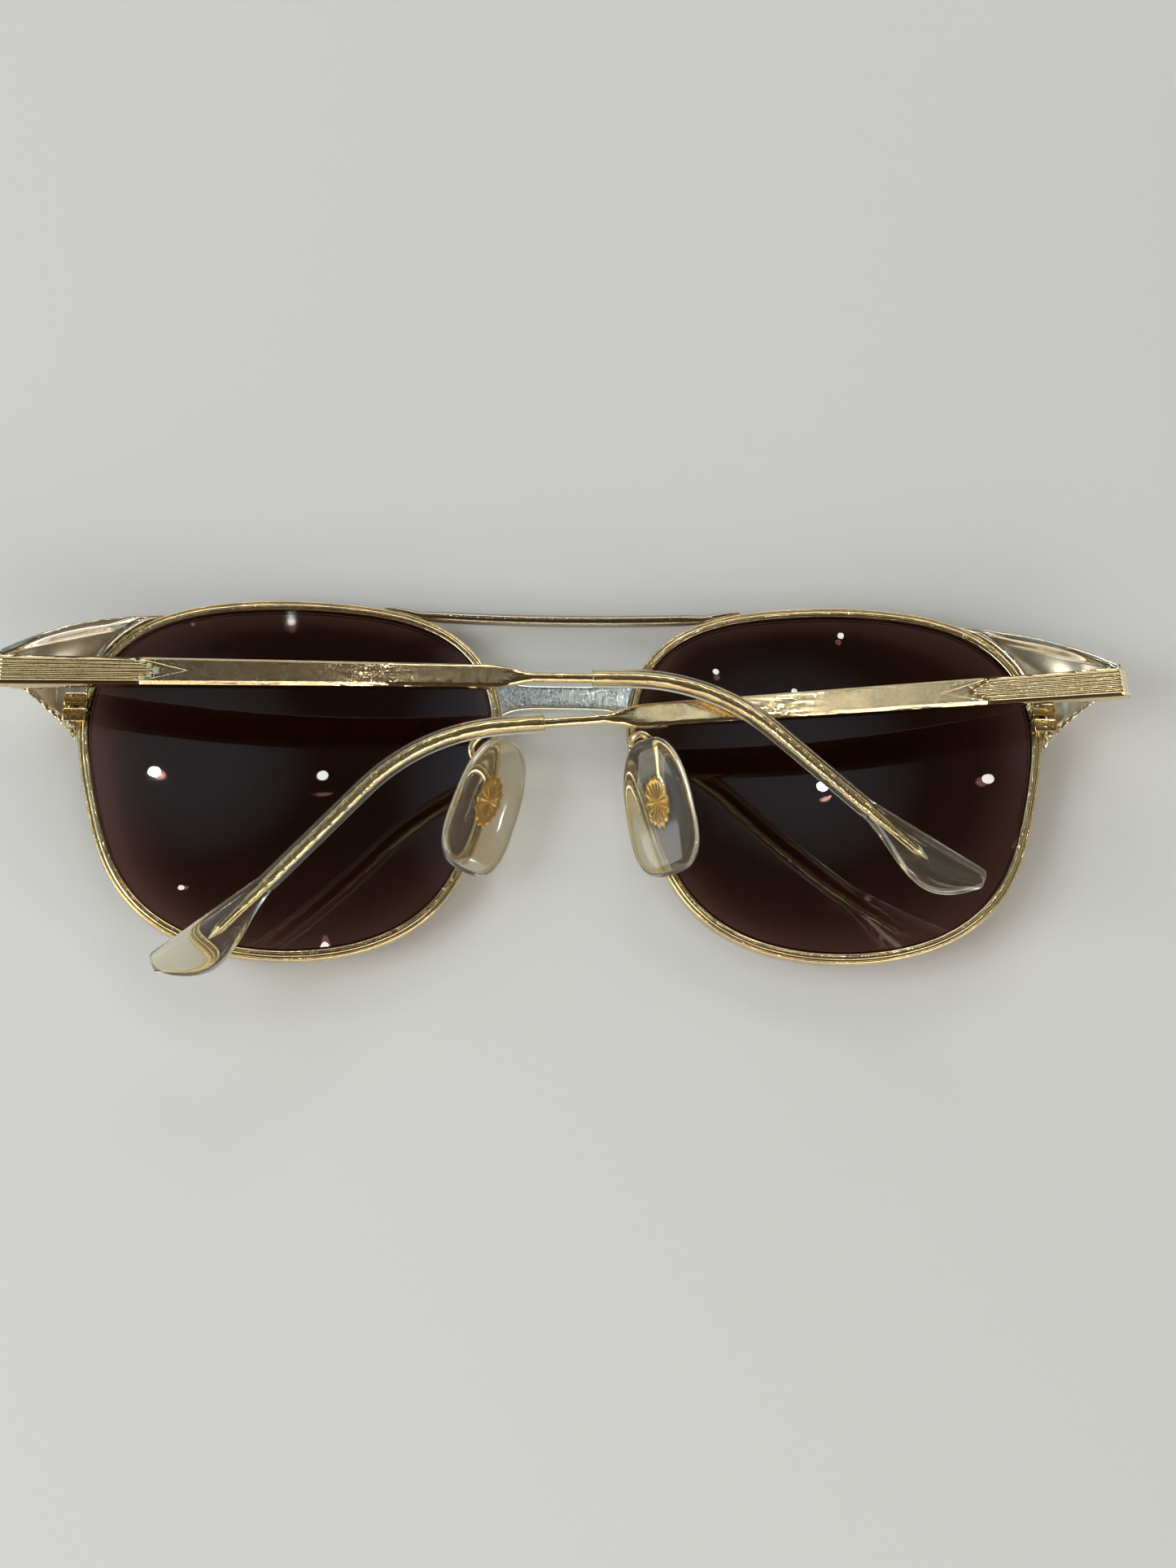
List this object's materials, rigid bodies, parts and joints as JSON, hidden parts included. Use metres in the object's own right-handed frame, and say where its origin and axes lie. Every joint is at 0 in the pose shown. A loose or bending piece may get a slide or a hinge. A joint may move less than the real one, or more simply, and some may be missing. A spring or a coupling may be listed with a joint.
{
  "type": "folding sunglasses",
  "caption": "Folding gold metal sunglasses with rounded square brown glass lenses, a brow bar over the bridge, hinged temples with clear tips and rocking nose pads.",
  "frame": {"origin": "middle of the folded glasses on the surface that the lenses rest on", "axes": "+X to the wearer's right, +Y up on the wearer's face, +Z from the lenses towards the wearer"},
  "size_m": [0.145, 0.0528, 0.0163],
  "materials": {
    "gold_plate": "worn polished gold plate",
    "polished_gold": "bright polished pale gold plate",
    "screw_metal": "gold toned steel, satin",
    "brown_glass": "dark brown tint, gloss",
    "clear_plastic": "clear, slightly yellowed, gloss"
  },
  "bodies": {
    "front": {"brow_bar": "gold_plate", "bridge": "polished_gold", "left_eyewire": "gold_plate", "left_lens": "brown_glass", "left_end_piece": "polished_gold", "left_closing_block_upper": "gold_plate", "left_closing_block_lower": "gold_plate", "left_closing_screw": "screw_metal", "left_hinge_front_leaf": "gold_plate", "left_hinge_screw": "screw_metal", "left_pad_arm": "gold_plate", "left_pad_box": "gold_plate", "left_pad_pin": "screw_metal", "right_eyewire": "gold_plate", "right_lens": "brown_glass", "right_end_piece": "polished_gold", "right_closing_block_upper": "gold_plate", "right_closing_block_lower": "gold_plate", "right_closing_screw": "screw_metal", "right_hinge_front_leaf": "gold_plate", "right_hinge_screw": "screw_metal", "right_pad_arm": "gold_plate", "right_pad_box": "gold_plate", "right_pad_pin": "screw_metal"},
    "left_temple": {"left_hinge_temple_leaf": "gold_plate", "left_temple_bar": "gold_plate", "left_temple_tip": "clear_plastic"},
    "right_temple": {"right_hinge_temple_leaf": "gold_plate", "right_temple_bar": "gold_plate", "right_temple_tip": "clear_plastic"},
    "left_pad": {"left_nose_pad": "clear_plastic", "left_pad_insert": "gold_plate"},
    "right_pad": {"right_nose_pad": "clear_plastic", "right_pad_insert": "gold_plate"}
  },
  "joints": [
    {"name": "left_temple_hinge", "type": "hinge", "parent": "front", "child": "left_temple", "pos_m": [-0.0696, 0.01357, 0.01], "axis": [-0.0108, -0.9999, 0], "range_deg": [0, 90]},
    {"name": "right_temple_hinge", "type": "hinge", "parent": "front", "child": "right_temple", "pos_m": [0.0696, 0.01357, 0.01], "axis": [-0.0849, 0.9964, 0], "range_deg": [0, 91.5]},
    {"name": "left_pad_rock", "type": "hinge", "parent": "front", "child": "left_pad", "pos_m": [-0.0108, -0.0022, 0.0059], "axis": [0.8236, -0.2676, -0.5], "range_deg": [-6, 6]},
    {"name": "right_pad_rock", "type": "hinge", "parent": "front", "child": "right_pad", "pos_m": [0.0127, -0.0022, 0.0059], "axis": [0.8541, 0.1429, 0.5], "range_deg": [-6, 6]}
  ]
}
